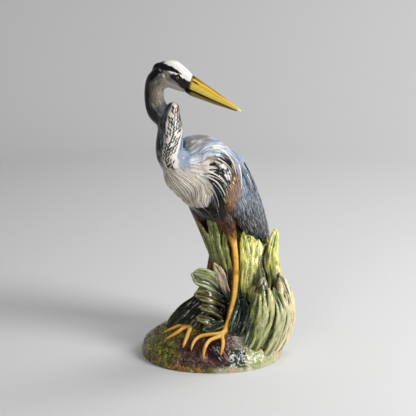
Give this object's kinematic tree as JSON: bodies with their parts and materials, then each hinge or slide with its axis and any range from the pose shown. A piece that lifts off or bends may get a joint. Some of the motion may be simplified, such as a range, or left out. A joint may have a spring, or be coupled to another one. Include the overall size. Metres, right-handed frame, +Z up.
{
  "type": "glazed earthenware heron figure",
  "caption": "Standing glazed heron figure that looks back over its shoulder, on a domed mossy mound with reeds and curled leaves.",
  "frame": {"origin": "centre of the mound's flat underside", "axes": "+Z up; -Y is the side it is shown from; the bill points towards +X and the bird's breast towards -X and -Y"},
  "size_m": [0.2596, 0.23, 0.4996],
  "materials": {
    "mound_glaze": "gloss",
    "stone_glaze": "gloss",
    "plumage_glaze": "gloss",
    "leg_glaze": "gloss",
    "bill_glaze": "gloss",
    "eye_glaze": "gloss",
    "reed_glaze": "gloss",
    "leaf_glaze": "gloss"
  },
  "bodies": {
    "root": {"mound": "mound_glaze", "stone": "stone_glaze", "trunk": "plumage_glaze", "wing_left": "plumage_glaze", "wing_right": "plumage_glaze", "tail": "plumage_glaze", "thigh_left": "plumage_glaze", "thigh_right": "plumage_glaze", "neck_lower": "plumage_glaze", "neck_upper": "plumage_glaze", "head": "plumage_glaze", "shank_left": "leg_glaze", "shank_right": "leg_glaze", "foot_left": "leg_glaze", "foot_right": "leg_glaze", "bill_upper": "bill_glaze", "bill_lower": "bill_glaze", "eye_left": "eye_glaze", "eye_right": "eye_glaze", "reed_stand": "reed_glaze", "reed_1": "reed_glaze", "reed_2": "reed_glaze", "reed_3": "reed_glaze", "reed_4": "reed_glaze", "reed_5": "reed_glaze", "reed_6": "reed_glaze", "reed_7": "reed_glaze", "reed_tall": "reed_glaze", "reed_back_1": "reed_glaze", "reed_back_2": "reed_glaze", "reed_back_3": "reed_glaze", "leaf_cream": "leaf_glaze", "leaf_left_1": "leaf_glaze", "leaf_left_2": "leaf_glaze", "leaf_left_3": "leaf_glaze", "leaf_left_4": "leaf_glaze", "leaf_left_5": "leaf_glaze", "leaf_left_6": "leaf_glaze", "leaf_middle": "leaf_glaze", "leaf_knob": "leaf_glaze", "leaf_right_1": "leaf_glaze", "leaf_right_2": "leaf_glaze", "leaf_right_3": "leaf_glaze", "leaf_right_4": "leaf_glaze", "leaf_back_1": "leaf_glaze", "leaf_back_2": "leaf_glaze", "leaf_back_3": "leaf_glaze", "leaf_back_4": "leaf_glaze"}
  },
  "joints": []
}
